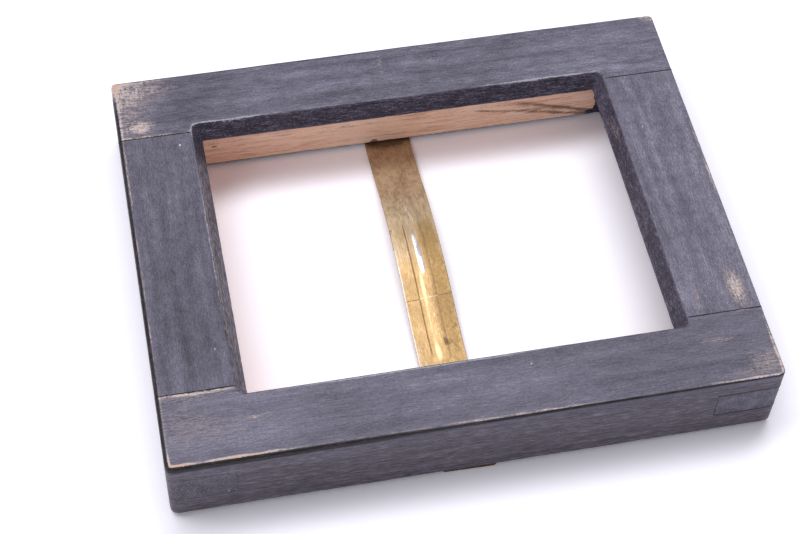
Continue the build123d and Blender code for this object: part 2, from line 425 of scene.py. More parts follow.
def railCells(x, y, z, gap):
    # a rail: all beyond the lip's line, less the opening, the open slots and what is let into its back
    rail = (y > farLip) | (y < nearLip)
    left, right, front, rear = hinge["pocket"]
    acrossBar = (x > left) & (x < right)
    pocket = acrossBar & (y > front) & (y < rear) & (z < backPlane + hinge["pocketDepth"])
    slot = acrossBar & (y > hinge["barrelSlot"][0]) & (y < hinge["barrelSlot"][1]) & (z < hinge["slotTop"])
    tip = (x > housing["span"][0]) & (x < housing["span"][1]) & (y > housing["end"]) & (y < 0)
    tip = tip & (z < backPlane + housing["depth"])
    return rail & ~inOpening(x, y, z) & ~inTenon(x, z, gap) & ~pocket & ~slot & ~tip


def stileCells(x, y, z, gap):
    # a stile: the body between the rails, a little short of them, and a tenon through each rail
    tight = wood["shoulderGap"]
    body = (np.abs(x) > openHalfX) & (y < farLip - tight) & (y > nearLip + tight)
    return (body | inTenon(x, z, gap)) & ~inOpening(x, y, z)


def squareToRound(dx, dy):
    # the factor that makes a point's larger offset from a centre its distance from it
    return np.maximum(np.abs(dx), np.abs(dy)) / np.maximum(np.hypot(dx, dy), 1e-9)


def bevelSetback(z):
    # how far the bevel stands behind the lip at height z: none up to the lip's top, then growing evenly
    return np.clip((z - lipTop) / wood["bevelDepth"], 0, 1) * wood["bevelRun"]


def slopeBevel(points):
    # above the lip the square step is sheared into the bevel, and the wood behind it is squeezed evenly
    # towards the outer face
    x, y, z = points.T
    run = wood["bevelRun"]
    back = bevelSetback(z)

    def shear(value, lip, outer):
        # the step is scaled to the bevel's width here, and what is behind it to what is left
        inside = np.abs(value)
        step = lip + (inside - lip) * back / run
        behind = outer - (outer - inside) * (outer - lip - back) / (outer - lip - run)
        return np.sign(value) * np.where(inside <= lip, inside, np.where(inside < lip + run, step, behind))

    above = z > lipTop - 1e-6
    newX = shear(x, openHalfX, outerHalf[0])
    newY = np.where(y > 0, shear(y, farLip, outerHalf[1]), -shear(-y, -nearLip, outerHalf[1]))
    return np.stack([np.where(above, newX, x), np.where(above, newY, y), z], axis=1)


def roundBevelCorners(points):
    # where two bevels meet, the corner is cut round, with a radius that grows from none at the lip to its
    # full size on the front, and the bend fades out in the wood behind
    x, y, z = points.T
    back = bevelSetback(z)
    radius = np.maximum(back * wood["bevelCorner"], 1e-6)
    centreX = np.sign(x) * (openHalfX + back - radius)
    centreY = np.where(y > 0, farLip + back - radius, nearLip - back + radius)
    dx, dy = x - centreX, y - centreY
    towards = (dx * np.sign(x) > 0) & (dy * np.sign(y) > 0) & (back > 0)
    larger = np.maximum(np.abs(dx), np.abs(dy))
    fade = smoothStep(radius + wood["cornerFade"], radius, larger)
    bend = np.where(towards, (1 - squareToRound(dx, dy)) * fade, 0)
    return np.stack([x - dx * bend, y - dy * bend, z], axis=1)


def edgeRadiusAt(x, y):
    # the outer edges are worn rounder towards the left end, and a little more at its far corner
    left = smoothStep(*wood["edgeRun"], x)
    atLeft = wood["leftEdgeRadius"] + wood["farLeftEdge"] * y / outerHalf[1]
    return wood["edgeRadius"] + (atLeft - wood["edgeRadius"]) * left


def roundOutside(points):
    # the upright corners and then the long edges of the outer box are bent from square to round: a point
    # keeps its direction from the rounding's centre
    x, y, z = points.T
    cornerRadius = np.where(y > 0, wood["farCornerRadius"], wood["nearCornerRadius"])
    edgeRadius = edgeRadiusAt(x, y)
    coreX = np.sign(x) * np.minimum(np.abs(x), outerHalf[0] - cornerRadius)
    coreY = np.sign(y) * np.minimum(np.abs(y), outerHalf[1] - cornerRadius)
    dx, dy = x - coreX, y - coreY
    scale = squareToRound(dx, dy)
    x, y = coreX + dx * scale, coreY + dy * scale
    # distance to the rounded outline, and its direction
    dx, dy = np.abs(x) - (outerHalf[0] - cornerRadius), np.abs(y) - (outerHalf[1] - cornerRadius)
    cornered = (dx > 0) & (dy > 0)
    reach = np.where(cornered, np.hypot(np.maximum(dx, 0), np.maximum(dy, 0)), np.maximum(dx, dy))
    length = np.maximum(np.hypot(dx, dy), 1e-9)
    outX = np.sign(x) * np.where(cornered, dx / length, dx >= dy)
    outY = np.sign(y) * np.where(cornered, dy / length, dx < dy)
    sideways = np.maximum(edgeRadius - (cornerRadius - reach), 0)
    middle, half = (frontPlane + backPlane) / 2, (frontPlane - backPlane) / 2
    upwards = np.maximum(np.abs(z - middle) - (half - edgeRadius), 0)
    shrink = np.where((sideways > 0) & (upwards > 0), squareToRound(sideways, upwards), 1)
    z = z - np.sign(z - middle) * upwards * (1 - shrink)
    inwards = sideways * (1 - shrink)
    return np.stack([x - outX * inwards, y - outY * inwards, z], axis=1)


def jointDistance(points):
    # how far a point is from the nearest glued face: the shoulders, and the three faces round a tenon; a
    # point that isn't beside one is far from it
    x, y, z = points.T
    far = 9
    shoulder = np.minimum(np.abs(y - farLip), np.abs(y - nearLip))
    shoulder = np.where(np.abs(x) > openHalfX - wood["jointReach"], shoulder, far)
    cheeks = np.minimum(np.abs(z - tenonTop), np.abs(z - tenonBottom))
    reach = wood["tenonReach"]
    beside = (z > tenonBottom - reach) & (z < tenonTop + reach) & (np.abs(x) > rebateHalfX - reach)
    tenon = np.where(beside, np.minimum(np.abs(np.abs(x) - rebateHalfX), cheeks), far)
    return np.minimum(shoulder, tenon)


def edgeStrength(points, faces):
    # 1 on an arris, where the skin stands proud of a smoothed copy of itself, and 0 on a face
    smooth = points
    for _ in range(wood["edgePasses"]):
        smooth = neighbourMean(smooth, faces) * 0.5 + smooth * 0.5
    proud = ((points - smooth) * vertexNormals(points, faces)).sum(axis=1)
    return smoothStep(*wood["edgeProud"], proud)


def easeArrises(points, faces):
    # each pass moves a point towards its neighbours' mean by its own share
    uneven = cloudNoise(points, wood["roughLength"], noiseSeed["rough"]) * wood["roughShare"]
    uneven += cloudNoise(points, wood["fineLength"], noiseSeed["fine"]) * wood["fineShare"]
    reachX, reachY = wood["openingReach"]
    nearOpening = inOpening(points[:, 0] * reachX, points[:, 1] * reachY, points[:, 2])
    share = wood["softenLeast"] + wood["softenSwing"] * uneven
    share *= np.where(nearOpening, wood["openingShare"], 1)
    share *= 1 - spotField(points, [wood["paintedJoint"]])
    for _ in range(wood["softening"]):
        points = points + (neighbourMean(points, faces) - points) * share[:, None]
    return points


def wanderInwards(points, faces, edge, glued):
    # planing waves, ripples along the cutter's width and chips off the arrises, all into the wood
    inwards = wood["waveDepth"] * cloudNoise(points, wood["waveLength"], noiseSeed["wave"])
    stretched = points * np.array(wood["rippleStretch"])
    inwards += wood["rippleDepth"] * cloudNoise(stretched, wood["rippleLength"], noiseSeed["ripple"])
    chips = smoothStep(*wood["chipFrom"], cloudNoise(points, wood["chipLength"], noiseSeed["chip"]))
    inwards += wood["chipDepth"] * edge * chips
    return points - vertexNormals(points, faces) * (inwards * smoothStep(*wood["jointCalm"], glued))[:, None]


def memberShell(name, cells, gap, box, stops):
    # lattice skin of a member, then bevel slope, rounded outside, eased arrises, planing waves and chips
    lines = []
    for low, high, cuts in zip(*box, stops):
        inside = [v for v in cuts if low < v < high]
        lines.append(gradedStops(sorted({low, high, *inside}), wood["step"], wood["crowding"]))
    centres = [(line[1:] + line[:-1]) / 2 for line in lines]
    x, y, z = np.meshgrid(*centres, indexing="ij", sparse=True)
    filled = np.broadcast_to(cells(x, y, z, gap), [len(c) for c in centres])
    points, faces = latticeShell(lines, filled)
    points, faces = joinTouching(slopeBevel(points), faces)
    masks = woodMasks(points)
    edge, glued = edgeStrength(points, faces), jointDistance(points)
    points = easeArrises(roundOutside(roundBevelCorners(points)), faces)
    points = wanderInwards(points, faces, edge, glued)
    print(name, "skin:", len(points), "points", len(faces), "faces")
    return points, faces, masks


# marks on the wood, as place, reach along x, y and z, and strength
stainMarks = {
    # stain rubbed through to the wood on the front face
    "worn": [
        ((-79, 61, 23), (12, 11, 6), 0.62), ((-78, 50, 23), (10, 11, 3), 0.5),
        ((-71.5, 44.8, 23), (3.2, 1.9, 2), 1.15), ((-78.2, 61.2, 21.8), (2.4, 4.0, 2.6), 1.5),
        ((-66, 58, 23), (10, 6, 3), 0.35), ((-73, -50, 23), (14, 9, 3), 0.42),
        ((-60, -53, 23), (12, 4, 3), 0.22), ((-66, -42.6, 23), (11, 1.2, 2), 0.4),
        ((-54.6, -51.3, 23), (2.6, 0.45, 1), 1.0), ((75, -57, 23), (6, 4, 2), 0.7),
        ((66, -60, 23), (9, 2.0, 2), 0.4), ((63.5, -49.4, 23), (6, 1.3, 2), 0.62),
        ((73.2, -34.5, 23), (2.6, 6.0, 2), 1.25), ((62.4, -36, 23), (1.0, 7, 2), 0.6),
        ((77, 61.5, 23), (3.5, 1.5, 2), 0.7), ((70, 55, 23), (8, 4, 2), 0.2),
        ((67, -8, 23), (1.3, 12, 2), 0.3), ((57.6, 24, 20.6), (1.6, 6, 2), 0.75),
        ((50, -54, 23), (10, 2, 2), 0.14), ((62, 53, 23), (11, 2, 2), 0.12),
        ((-3, 57, 23), (1.0, 5, 1), 0.55), ((-58.6, 41.6, 23), (0.5, 0.5, 2), 0.9),
        ((70, 12, 23), (1.6, 9, 2), 0.12), ((77, 10, 23), (1.6, 16, 2), 0.18),
    ],
    # wear along the outer front edges
    "edgeWear": [
        ((-78, 8, 23), (4, 60, 4), 0.8), ((-78, 58, 23), (5, 9, 4), 0.6),
        ((-68, -62.5, 23), (18, 4, 4), 1.9), ((-5, -62.5, 23), (45, 4, 4), 1.0),
        ((70, -62.5, 23), (12, 4, 4), 1.3), ((78, -53, 23), (4, 10, 4), 1.0),
        ((78, 4, 23), (4, 22, 4), 0.75), ((77, 62.5, 23), (5, 4, 4), 0.8),
        ((0, 62.5, 23), (75, 4, 4), 0.35),
    ],
    # lint and specks of dust, bright
    "lint": [
        ((-61.7, 37.1, 23), (0.3, 0.3, 1), 1.2), ((-61.5, -29.9, 23), (0.2, 0.16, 1), 0.8),
        ((15.4, -47.8, 23), (0.3, 0.2, 1), 1.0), ((-5.5, -48.6, 23), (0.35, 0.2, 1), 1.0),
        ((-63.4, -62.5, 9), (0.35, 1, 0.35), 1.1), ((76.5, 25.6, 23), (1.6, 0.13, 1), 1.1),
        ((64, 22, 23), (0.2, 0.2, 1), 0.8), ((70, 3, 23), (0.2, 0.25, 1), 0.8),
        ((30, -52, 23), (0.3, 0.15, 1), 0.7),
    ],
    # a nearly black band on the rounding below those edges
    "shoulder": [
        ((-78, -20, 22), (3, 60, 6), 1.3), ((-78, 44, 22), (3, 9, 6), 0.8),
        ((-60, -62.5, 22), (60, 3, 6), 1.1), ((40, -62.5, 22), (40, 3, 6), 1.2),
        ((-10, 62.5, 22), (50, 3, 6), 0.7),
    ],
    # light line along the bevel's upper edge
    "brinkWear": [
        ((-48, 44, 23), (13, 4, 4), 1.0), ((40, 44, 23), (17, 4, 4), 0.95), ((0, 44, 23), (14, 4, 4), 0.2),
        ((-58, 5, 23), (3, 38, 4), 0.55), ((-14, -44, 23), (40, 3, 4), 0.8),
    ],
    # wear along the joint lines, on the rail's side
    "seamWear": [
        ((-72, 41, 23), (13, 4, 4), 0.8), ((-68, -41.4, 23), (15, 4, 4), 0.9),
        ((72, -41.4, 23), (5, 4, 4), 0.3),
    ],
    # slow changes of the stain from member to member, and painted shade along the near outer face
    "tone": [
        ((-67, 0, 23), (14, 36, 30), -0.32), ((67, 0, 23), (14, 36, 30), 0.22),
        ((-60, -53, 23), (22, 9, 8), 0.42), ((62, -52, 23), (25, 9, 30), -0.15),
        ((58, 52, 23), (25, 9, 8), 0.2), ((-56, 50, 23), (10, 9, 8), -0.3),
        # painted shade: the first spot on this line darkens the whole near outer face
        ((0, -62.6, 10), (200, 0.6, 11), -0.35), ((68, -62.5, 12), (9, 0.6, 6), 0.2),
        ((-68, -28, 23), (9, 14, 5), -0.35), ((68, -20, 23), (6, 20, 5), -0.1),
        ((45, -53, 23), (20, 9, 5), -0.3),
    ],
    # dark flecks, a darker lower edge and stray stain on the bare wall under the far lip
    "ink": [
        ((-51.9, 47, 8.5), (0.9, 3, 0.3), 1.3), ((-8.5, 47, 10.1), (0.4, 3, 1.0), 0.7),
        ((0, 47, 1.0), (75, 3, 0.7), 0.55), ((-35, 47, 12.5), (6, 3, 0.35), 0.4),
        ((-6.1, 47, 1.6), (1.0, 3, 0.9), 1.2), ((28, 47, 12), (9, 3, 0.4), 0.35),
        ((37.6, 47, 9.7), (0.6, 3, 0.35), 1.0), ((55.4, 47, 10.8), (0.4, 3, 1.6), 0.45),
    ],
}
# the two long dark streaks on that wall and the faint stain round them: along x, the middle line of each,
# its half width and its strength
beechStreaks = [
    {"x": (24, 32, 40, 46, 55, 59), "z": (11.6, 10.8, 8.9, 6.9, 3.7, 2.7),
     "half": (0.8, 0.8, 0.7, 0.7, 0.6, 0.6), "strength": (0.0, 0.3, 0.6, 0.9, 1.0, 0.9)},
    {"x": (18, 26, 34, 40, 48, 55), "z": (9.6, 8.4, 7.0, 5.6, 3.6, 1.9),
     "half": (0.4, 0.45, 0.5, 0.5, 0.5, 0.4), "strength": (0.3, 0.7, 0.7, 0.85, 1.0, 0.8)},
    {"x": (24, 34, 44, 55), "z": (10.0, 8.9, 6.6, 2.8),
     "half": (1.2, 1.4, 1.4, 1.0), "strength": (0.1, 0.22, 0.28, 0.2)},
]
# where the black was slopped round the wall's far right end
slopEdge = {"x": 59.0, "lean": 2.8, "low": 2.3, "high": 3.6}
wear = {
    # how far the slow change of tone and the breaks in the edge wear swing, and over what length
    "toneSwing": 0.3, "toneLength": 38.0, "breakLeast": 0.2, "breakSwing": 1.6, "breakLength": 5.0,
    # the dark shoulder's width at the right, what it gains by the left end, and between which x
    "bandLeast": 0.8, "bandGain": 1.6, "bandRun": (35, -60), "bandFade": 0.5,
    # the sides are browner from this far below the arris; the tenons' ends keep this share, right and left
    "brownFrom": (-2, -4), "tenonBrown": (0.2, 0.7),
    # share of fresh stain on the left, far, near and right bevel, and along their foot
    "bevelFresh": (0.85, 0.85, 0.6, 0.72), "footFresh": 0.45,
    # short of its far corner, the left bevel is browner, paler and more faded: partly faded stain, partly
    # painted light on a bevel that the lamps leave in shade
    "paleBevelRun": (36, 28), "paleBevelBrown": 1.5, "paleBevelTone": 0.6, "paleBevelLoss": 0.8,
    # and rubbed through along a line this deep below its upper edge, between these y
    "rubDepth": 0.35, "rubStrength": 0.75, "rubNear": (-34, -26), "rubFar": (34, 26),
    # the stain ends this far inside the lip, and how deep in the bare wood a point is counts up to bareMost
    "bareFrom": 1.2, "bareMost": 2,
    # a point is on the outer sides, a tenon's end or the opening's walls when it is this near them
    "sideSlack": 0.5, "endSlack": 0.6, "wallSlack": 0.05, "ledgeSlack": 0.1, "backSlack": 0.02,
    # where along the distances from an arris and a brink the shoulder and the bevel begin
    "shoulderFrom": (-0.02, -0.22), "bevelFrom": (0.05, -0.3),
    # the seams start this far beyond the bevel; the one under a tenon reaches this far from its lower face
    # and runs this much below it
    "seamStart": 0.1, "seamReach": 2, "seamRaise": 0.05,
}


def outsideMasks(masks, x, y, z):
    # arris: inwards from where the outer rounding starts; below it the distance runs down the side
    inset = np.minimum(outerHalf[0] - np.abs(x), outerHalf[1] - np.abs(y))
    onSide = inset < wear["sideSlack"]
    masks["arris"] = inset - (frontPlane - z) - edgeRadiusAt(x, y)
    # the dark shoulder below it is a wide band at the left end and thins to a line at the right
    band = wear["bandLeast"] + wear["bandGain"] * smoothStep(*wear["bandRun"], x)
    below = smoothStep(*wear["shoulderFrom"], masks["arris"])
    masks["shoulder"] *= below * smoothStep(-band - wear["bandFade"], -band, masks["arris"])
    # browner and less faded on the outer sides; the tenons' ends took the stain evenly and stayed greyer
    masks["brown"] = onSide * smoothStep(*wear["brownFrom"], masks["arris"])
    tenonEnd = inTenon(x, z, 0) & (np.abs(y) > outerHalf[1] - wear["endSlack"])
    masks["brown"] *= np.where(tenonEnd, np.where(x > 0, *wear["tenonBrown"]), 1)
    # seam: from the joint line on the front face, positive on the rail, and on the outer sides from the open
    # joint line under the right tenons
    noSeam = 9
    onFront = np.abs(x) > bevelHalfX + wear["seamStart"]
    masks["seam"] = np.where(onFront, np.where(y > 0, y - farLip, nearLip - y), noSeam)
    aboveSeam = z - tenonBottom
    underTenon = (x > rebateHalfX) & onSide & (np.abs(y) > farLip) & (np.abs(aboveSeam) < wear["seamReach"])
    masks["seam"] = np.where(underTenon, aboveSeam + wear["seamRaise"], masks["seam"])


def openingMasks(masks, x, y, z):
    # brink: outwards from the bevel's upper edge, negative on the bevel; side: left 0, far 1, near 2, right 3
    sides = np.stack([np.abs(x) - bevelHalfX, y - farBevel, nearBevel - y])
    masks["brink"] = sides.max(axis=0)
    side = sides.argmax(axis=0) + (sides.argmax(axis=0) == 0) * (x > 0) * 3
    slack = wear["wallSlack"]
    inside = (np.abs(x) < rebateHalfX + slack) & (y < farWall + slack) & (y > nearWall - slack)
    onBevel = smoothStep(*wear["bevelFrom"], masks["brink"])
    # painted light, with some faded stain: the left bevel short of its far corner is made browner and paler
    faded = onBevel * (side == 0) * smoothStep(*wear["paleBevelRun"], y)
    masks["brown"] += wear["paleBevelBrown"] * faded
    masks["tone"] += wear["paleBevelTone"] * faded
    rubbed = np.exp(-((masks["brink"] + wear["rubDepth"]) / wear["rubDepth"]) ** 2)
    rubbed = rubbed * (side == 0) * smoothStep(*wear["rubNear"], y) * smoothStep(*wear["rubFar"], y)
    masks["worn"] += wear["rubStrength"] * rubbed
    onBevel *= np.array(wear["bevelFresh"])[side] * (1 - wear["paleBevelLoss"] * faded)
    onBevel *= np.where(z < lipTop + slack, wear["footFresh"], 1)
    aboveLedge = z > ledge - wear["ledgeSlack"]
    masks["fresh"] = np.where(aboveLedge, onBevel, inside)
    # bare: how deep inside the unstained rebate
    beyondLip = np.maximum.reduce([np.abs(x) - openHalfX, y - farLip, nearLip - y])
    slop = slopEdge["x"] - slopEdge["lean"] * smoothStep(slopEdge["high"], slopEdge["low"], z) - x
    most = wear["bareMost"]
    bare = np.minimum(np.where(aboveLedge, beyondLip - wear["bareFrom"], most), slop)
    onWall = inside & (z < ledge + slack) & (z > backPlane + wear["backSlack"])
    masks["bare"] = np.where(onWall, np.clip(bare, -most, most), -most)
    # streak: a band's strength on its middle line, falling off across it
    masks["streak"] = np.zeros(len(x))
    for band in beechStreaks:
        middle, half, strength = (np.interp(x, band["x"], band[key]) for key in ("z", "half", "strength"))
        masks["streak"] += strength * np.exp(-((z - middle) / half) ** 2) * (y > farLip)


def woodMasks(points):
    # distances in millimetres across the lines that the finish follows, and strengths of its marks
    masks = {key: spotField(points, spots) for key, spots in stainMarks.items()}
    slow = cloudNoise(points, wear["toneLength"], noiseSeed["tone"]) - 0.5
    masks["tone"] += 0.5 + wear["toneSwing"] * slow
    breaks = cloudNoise(points, wear["breakLength"], noiseSeed["edgeWear"])
    masks["edgeWear"] *= wear["breakLeast"] + wear["breakSwing"] * breaks
    outsideMasks(masks, *points.T)
    openingMasks(masks, *points.T)
    return masks


paint = {
    # noise: length along the fibres, width across them (both in millimetres), detail and roughness
    "sizes": {"strokes": (2.6, 0.40, 2, 0.6), "pores": (0.6, 0.28, 1, 0.5), "clouds": (6.0, 3.6, 2, 0.5),
              "bands": (40.0, 2.6, 2, 0.5), "hatch": (0.5, 1.7, 2, 0.65), "lines": (16.0, 0.5, 3, 0.6)},
    # weighted sums of that noise round a middle value
    "mixes": {"grey": (0.5, {"strokes": 0.44, "pores": 0.44, "clouds": 0.24, "bands": 0.40}),
              "rough": (0.44, {"strokes": 1.1, "pores": 0.9, "clouds": 0.4}),
              "side": (0.0, {"strokes": 0.7, "lines": 0.6}),
              "wander": (0.0, {"pores": 0.7, "clouds": 0.6}),
              "ragged": (0.0, {"pores": 2.0, "clouds": 3.5}),
              "grain": (0.5, {"lines": 1.0, "strokes": 0.5, "bands": 0.5}),
              "height": (0.5, {"strokes": 0.6, "pores": 0.4})},
    # how much of a noise makes each mask's border ragged
    "frays": {"shoulder": ("wander", 1.3), "ink": ("strokes", 0.7), "streak": ("ragged", 0.3),
              "bare": ("ragged", 1.0)},
    # worn lines: middle, and how far from it the wear starts and is full, in millimetres
    "arrisLine": (0.15, 0.55, 0.12), "seamLine": (0.35, 0.7, 0.15), "brinkLine": (0.12, 0.36, 0.1),
    "gapLine": (-0.05, 0.2, 0.08), "gapWander": 0.3, "brinkStrokes": 0.8,
    # how much the slow changes of tone move the grey, and how much wear the dark shoulder is spared
    "toneShare": 0.22, "shoulderSpared": 1.8,
    "roughness": 0.55, "ior": 1.48, "specular": 0.3, "bumpStrength": 0.4, "bumpDepth": 0.06,
}


def stainColours(tree, mask, noise):
    # the stain faded by light, paler on the raised fibres; as it was laid; and nearly black, for the band
    # below the outer edges
    share = paint["toneShare"]
    grey = addNode(tree, "Math", {0: mask["tone"], 1: share, 2: -share / 2}, operation="MULTIPLY_ADD")
    grey = addNode(tree, "Math", {0: grey, 1: noise["grey"]}, operation="ADD")
    grey = addNode(tree, "Math", {0: noise["side"], 1: mask["brown"], 2: grey}, operation="MULTIPLY_ADD")
    faded = layCoats(tree, colour("#2e2c37"), [
        (grey, 0.22, 0.42, 1, "#565363"), (grey, 0.42, 0.56, 1, "#6f6c7f"), (grey, 0.56, 0.82, 1, "#a6a3b4")])
    fresh = layCoats(tree, colour("#17131c"), [
        (noise["rough"], 0.2, 0.5, 1, "#3b3444"), (noise["rough"], 0.5, 0.85, 1, "#776f86")])
    nearlyBlack = layCoats(tree, colour("#0f090a"), [(noise["rough"], 0.42, 0.9, 0.85, "#4c3e3e")])
    return faded, fresh, nearlyBlack


def wornCoats(tree, mask, noise, frayed, nearlyBlack):
    # how far each line of wear reaches into the noise, and the coats that follow from it
    arris = nearLine(tree, mask["arris"], noise["wander"], paint["arrisLine"])
    seam = nearLine(tree, mask["seam"], noise["wander"], paint["seamLine"])
    worn = mask["worn"]
    for line, strength in ((arris, mask["edgeWear"]), (seam, mask["seamWear"]),
                           (mask["shoulder"], -paint["shoulderSpared"])):
        worn = addNode(tree, "Math", {0: line, 1: strength, 2: worn}, operation="MULTIPLY_ADD")
    worn = addNode(tree, "Math", {0: worn, 1: noise["wear"]}, operation="MULTIPLY")
    brink = nearLine(tree, mask["brink"], noise["wander"], paint["brinkLine"], mask["brinkWear"])
    brink = addNode(tree, "Math", {
        0: noise["strokes"], 1: paint["brinkStrokes"], 2: brink}, operation="MULTIPLY_ADD")
    wobble = addNode(tree, "Math", {0: noise["wander"], 1: paint["gapWander"]}, operation="MULTIPLY")
    gap = nearLine(tree, mask["seam"], wobble, paint["gapLine"])
    return [
        (mask["brown"], 0, 1, 0.32, "#5c504e"),
        (frayed["shoulder"], 0.2, 0.7, 0.94, nearlyBlack),
        (brink, 0.7, 1.1, 0.85, "#b0adbb"),
        (worn, 0.3, 0.8, 1, "#8d8288"),
        (worn, 0.75, 1.35, 0.95, "#cabcb9"),
        (worn, 1.6, 2.35, 0.85, "#d3a17c"),
        (gap, 0, 1, 0.9, "#131116"),
    ]


def stainedBeech(name, turn, shift, stretch, hatch, contrast):
    # beech, planed and brushed with thin black spirit stain: matt and bluish grey where light falls on it, in
    # short paler strokes along the fibres, pinkish where the stain is thin and tan where it is gone; the same
    # wood is bare in the rebate, pinkish tan with fine lines along the fibres and a few dark marks
    material, tree = newMaterial(name)
    fibre = objectPlace(tree, Location=shift, Rotation=(0, 0, radians(turn)))
    sizes = {key: (along * stretch, *rest) for key, (along, *rest) in paint["sizes"].items()}
    middle, weights = paint["mixes"]["grey"]
    mixes = {**paint["mixes"], "wear": (1.0, {"strokes": 2.4, "pores": 1.8, "hatch": hatch}),
             "grey": (middle, {key: weight * contrast for key, weight in weights.items()})}
    noise = mixLayers(tree, fibre, sizes, mixes)
    mask = readMasks(tree, (*stainMarks, "arris", "brown", "seam", "brink", "fresh", "bare", "streak"))
    frayed = frayMasks(tree, mask, noise, paint["frays"])
    faded, fresh, nearlyBlack = stainColours(tree, mask, noise)
    bare = layCoats(tree, colour("#d6a48a"), [
        (noise["grain"], 0.3, 0.46, 1, "#fbcdb3"), (noise["grain"], 0.46, 0.7, 1, "#ffe1cd"),
        (noise["pores"], 0.66, 0.74, 0.3, "#7a543c"), (frayed["ink"], 0.75, 1.15, 0.8, "#5c4334"),
        (frayed["streak"], 0.2, 0.75, 0.8, "#66493f")])
    surface = layCoats(tree, faded, [
        (mask["fresh"], 0, 1, 1, fresh), *wornCoats(tree, mask, noise, frayed, nearlyBlack),
        (frayed["bare"], -0.12, 0.12, 1, bare), (mask["lint"], 0.4, 0.6, 0.9, "#eceaf0")])
    closeFinish(tree, surface, noise["height"], paint, Roughness=paint["roughness"], IOR=paint["ior"],
                **{"Specular IOR Level": paint["specular"]})
    return material


# each member: its fibres' direction, where its pattern starts, how long its strokes are, how much its worn
# parts are scratched across the fibres, and how strong the grey's pattern is
members = {
    "rail_far": {"turn": 0, "shift": (0, 0, 0), "stretch": 1.0, "hatch": 1.7, "contrast": 0.88},
    "rail_near": {"turn": 0, "shift": (310, 40, 7), "stretch": 1.3, "hatch": 0.6, "contrast": 0.7},
    "stile_left": {"turn": 90, "shift": (150, 21, 3), "stretch": 0.6, "hatch": 0.6, "contrast": 0.82},
    "stile_right": {"turn": 90, "shift": (530, 90, 31), "stretch": 0.6, "hatch": 0.6, "contrast": 0.92},
}
cutsX = [-bevelHalfX, -openHalfX, -rebateHalfX, bevelHalfX, openHalfX, rebateHalfX]
cutsY = [farLip, farWall, farBevel, nearLip, nearWall, nearBevel]
cutsZ = [ledge, lipTop, tenonTop, tenonBottom]
fittingCuts = [[*hinge["pocket"][:2], *housing["span"]],
               [*hinge["barrelSlot"], *hinge["pocket"][2:], housing["end"]],
               [backPlane + hinge["pocketDepth"], hinge["slotTop"], backPlane + housing["depth"]]]
for name, grain in members.items():
    if name.startswith("rail"):
        gap, cells, extra = 0, railCells, fittingCuts
    else:
        gap, cells, tight = wood["tenonGap"][name[6:]], stileCells, wood["shoulderGap"]
        extra = [[rebateHalfX + gap, -rebateHalfX - gap], [farLip - tight, nearLip + tight],
                 [tenonTop - gap, tenonBottom + gap]]
    stops = [cuts + more for cuts, more in zip((cutsX, cutsY, cutsZ), extra)]
    points, faces, masks = memberShell(name, cells, gap, nodeBox(name), stops)
    finish = stainedBeech("black-stained beech, " + name.replace("_", " "), **grain)
    meshPiece("stained_" + name, points, faces, "frame", name, finish, masks)
print("four beech members made")

bar = {
    # the strip and its bow, as rolled, cut and set
    "thickness": 0.7, "edgeRound": 0.16, "tipZ": 1.5, "tipRadius": 2.0, "crestY": 8.0, "crestZ": 5.3,
    "halfSpan": 42.0, "barrelY": 52.0, "barrelZ": 1.6, "heelZ": 0.45, "knuckleRadius": 1.15,
    "knuckleWrap": 300, "shoulderY": 49.9, "shoulderStep": 0.02, "tongueWidth": 6.8,
    # the pressed rib along its middle
    "ribWidth": 5.0, "ribLength": 63.5, "ribY": 0.75, "ribHeight": 0.26,
    # the mesh: how far apart its rows and columns are, and how much closer at an edge
    "rowStep": 0.7, "rowCrowding": 0.5, "columnStep": 0.3, "columnCrowding": 0.7, "tongueRows": 6,
    "knuckleRows": 48, "edgeRows": 5,
    # the rib's creases are dark between these y, the right one less so
    "leftCrease": (17, 9), "rightCrease": (14, 8), "rightShare": 0.45, "nearCrease": (-30, -26),
    # a hairline crack runs across it here and leans by this much; a painted highlight runs along its left
    # edge as far as edgeY
    "crackY": -11.0, "crackLean": 0.07, "edgeY": 5,
}
barLow, barHigh = nodeBox("spring_bar")
barX = (barLow[0] + barHigh[0]) / 2
barHalf = (barHigh[0] - barLow[0]) / 2
ribHalf, ribStraight = bar["ribWidth"] / 2, (bar["ribLength"] - bar["ribWidth"]) / 2

